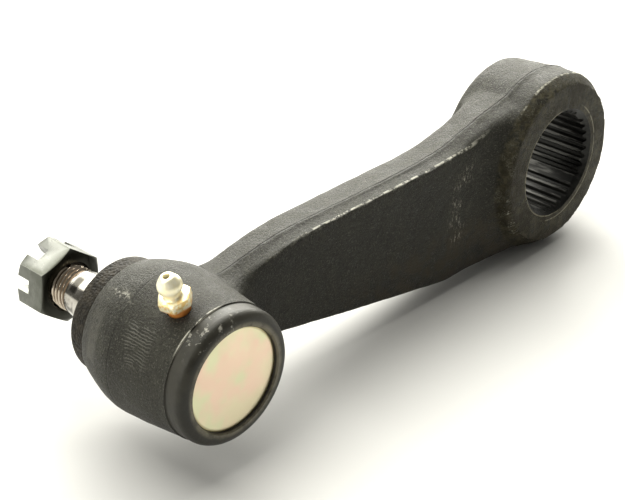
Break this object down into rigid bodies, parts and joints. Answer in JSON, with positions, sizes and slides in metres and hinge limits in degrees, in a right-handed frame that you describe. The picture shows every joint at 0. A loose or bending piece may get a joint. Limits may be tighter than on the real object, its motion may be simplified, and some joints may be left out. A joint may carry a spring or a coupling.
{
  "type": "pitman arm",
  "caption": "Forged steering arm with a splined hub at one end and a greaseable tapered ball stud with a slotted nut at the other.",
  "frame": {"origin": "centre of the hub's front face, on the axis of the splined bore", "axes": "+Y along the bore's axis, away from the front face; the ball joint lies towards -X; +Z across the arm's width"},
  "size_m": [0.1961, 0.0765, 0.0571],
  "materials": {
    "forged": "dark oiled forging skin",
    "cover_zinc": "yellow zinc plate with a pink and green tint",
    "fitting_zinc": "bright yellow zinc plate",
    "nut_zinc": "satin zinc plate",
    "bright_steel": "turned and ground",
    "bearing_steel": "ground",
    "spring_steel": "drawn wire",
    "black_rubber": "coarse moulded rubber"
  },
  "bodies": {
    "arm": {"arm_forging": "forged", "end_cover": "cover_zinc", "upper_race": "bearing_steel", "preload_spring": "spring_steel", "dust_seal": "black_rubber", "grease_fitting": "fitting_zinc", "check_spring": "spring_steel"},
    "seat": {"lower_seat": "bearing_steel"},
    "bearing": {"half_ball": "bearing_steel"},
    "stud": {"ball_stud": "bright_steel"},
    "nut": {"slotted_nut": "nut_zinc"},
    "check_ball": {"check_ball": "bearing_steel"}
  },
  "joints": [
    {"name": "tilt_direction", "type": "hinge", "parent": "arm", "child": "seat", "pos_m": [-0.1483, 0.0143, 0], "axis": [0.0698, 0.9976, 0], "continuous": true},
    {"name": "stud_tilt", "type": "hinge", "parent": "seat", "child": "bearing", "pos_m": [-0.1483, 0.0143, 0], "axis": [0, 0, 1], "range_deg": [-16, 16], "deforming": ["dust_seal"]},
    {"name": "stud_spin", "type": "hinge", "parent": "bearing", "child": "stud", "pos_m": [-0.1483, 0.0143, 0], "axis": [0.0698, 0.9976, 0], "continuous": true},
    {"name": "nut_travel", "type": "slide", "parent": "stud", "child": "nut", "axis": [0.0698, 0.9976, 0], "range_m": [-0.003, 0.007]},
    {"name": "grease_check", "type": "slide", "parent": "arm", "child": "check_ball", "axis": [0.3412, -0.0239, -0.9397], "range_m": [0, 0.001], "stiffness_N_per_m": 40, "springref_m": -0.001, "deforming": ["check_spring"]}
  ]
}
